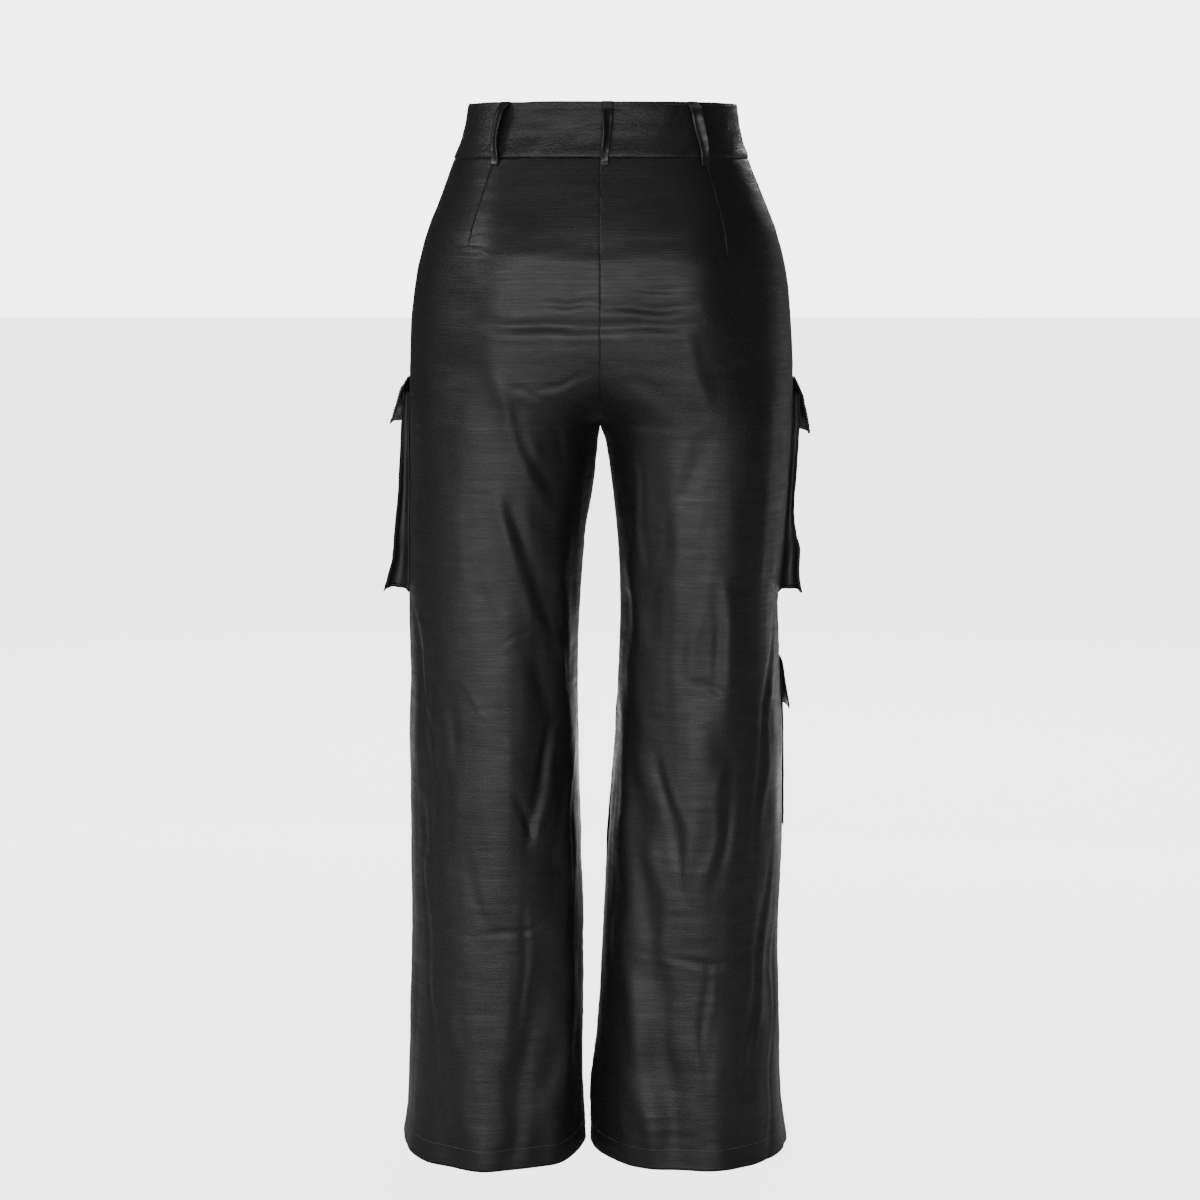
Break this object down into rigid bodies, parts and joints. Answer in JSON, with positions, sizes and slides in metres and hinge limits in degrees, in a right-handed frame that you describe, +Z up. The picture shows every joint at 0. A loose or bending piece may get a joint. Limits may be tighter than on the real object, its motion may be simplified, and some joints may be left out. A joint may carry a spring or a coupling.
{
  "type": "wide-leg cargo trousers",
  "caption": "Full-length wide-leg trousers in dark satin with a belt-loop waistband, lapped fly, slanted hip pockets, flapped bellows pockets on both thighs and a small flapped knee pocket.",
  "frame": {"origin": "centre of the waistband's ring at its mid height, where the wearer's waist holds the garment", "axes": "+Z up, the wearer faces -Y, the wearer's left is +X"},
  "size_m": [0.4222, 0.2558, 1.0425],
  "materials": {
    "satin": "near-black charcoal satin with fine cross-wise slubs and a soft silvery sheen, lightly creased",
    "button": "black four-hole button with a soft gloss",
    "zip_tape": "plain matt black woven tape"
  },
  "bodies": {
    "root": {"back_panel_left": "satin", "back_panel_right": "satin", "front_panel_left": "satin", "front_panel_right": "satin", "hip_facing_left": "satin", "hip_facing_right": "satin", "waistband": "satin", "waist_button": "button", "fly_shield": "satin", "zip_tape": "zip_tape", "belt_loop_back_left": "satin", "belt_loop_back_centre": "satin", "belt_loop_back_right": "satin", "belt_loop_front_left": "satin", "belt_loop_front_right": "satin", "cargo_face_left": "satin", "cargo_face_right": "satin", "cargo_gusset_left": "satin", "cargo_gusset_right": "satin", "cargo_flap_left": "satin", "cargo_flap_right": "satin", "knee_pocket": "satin", "knee_flap": "satin"}
  },
  "joints": []
}
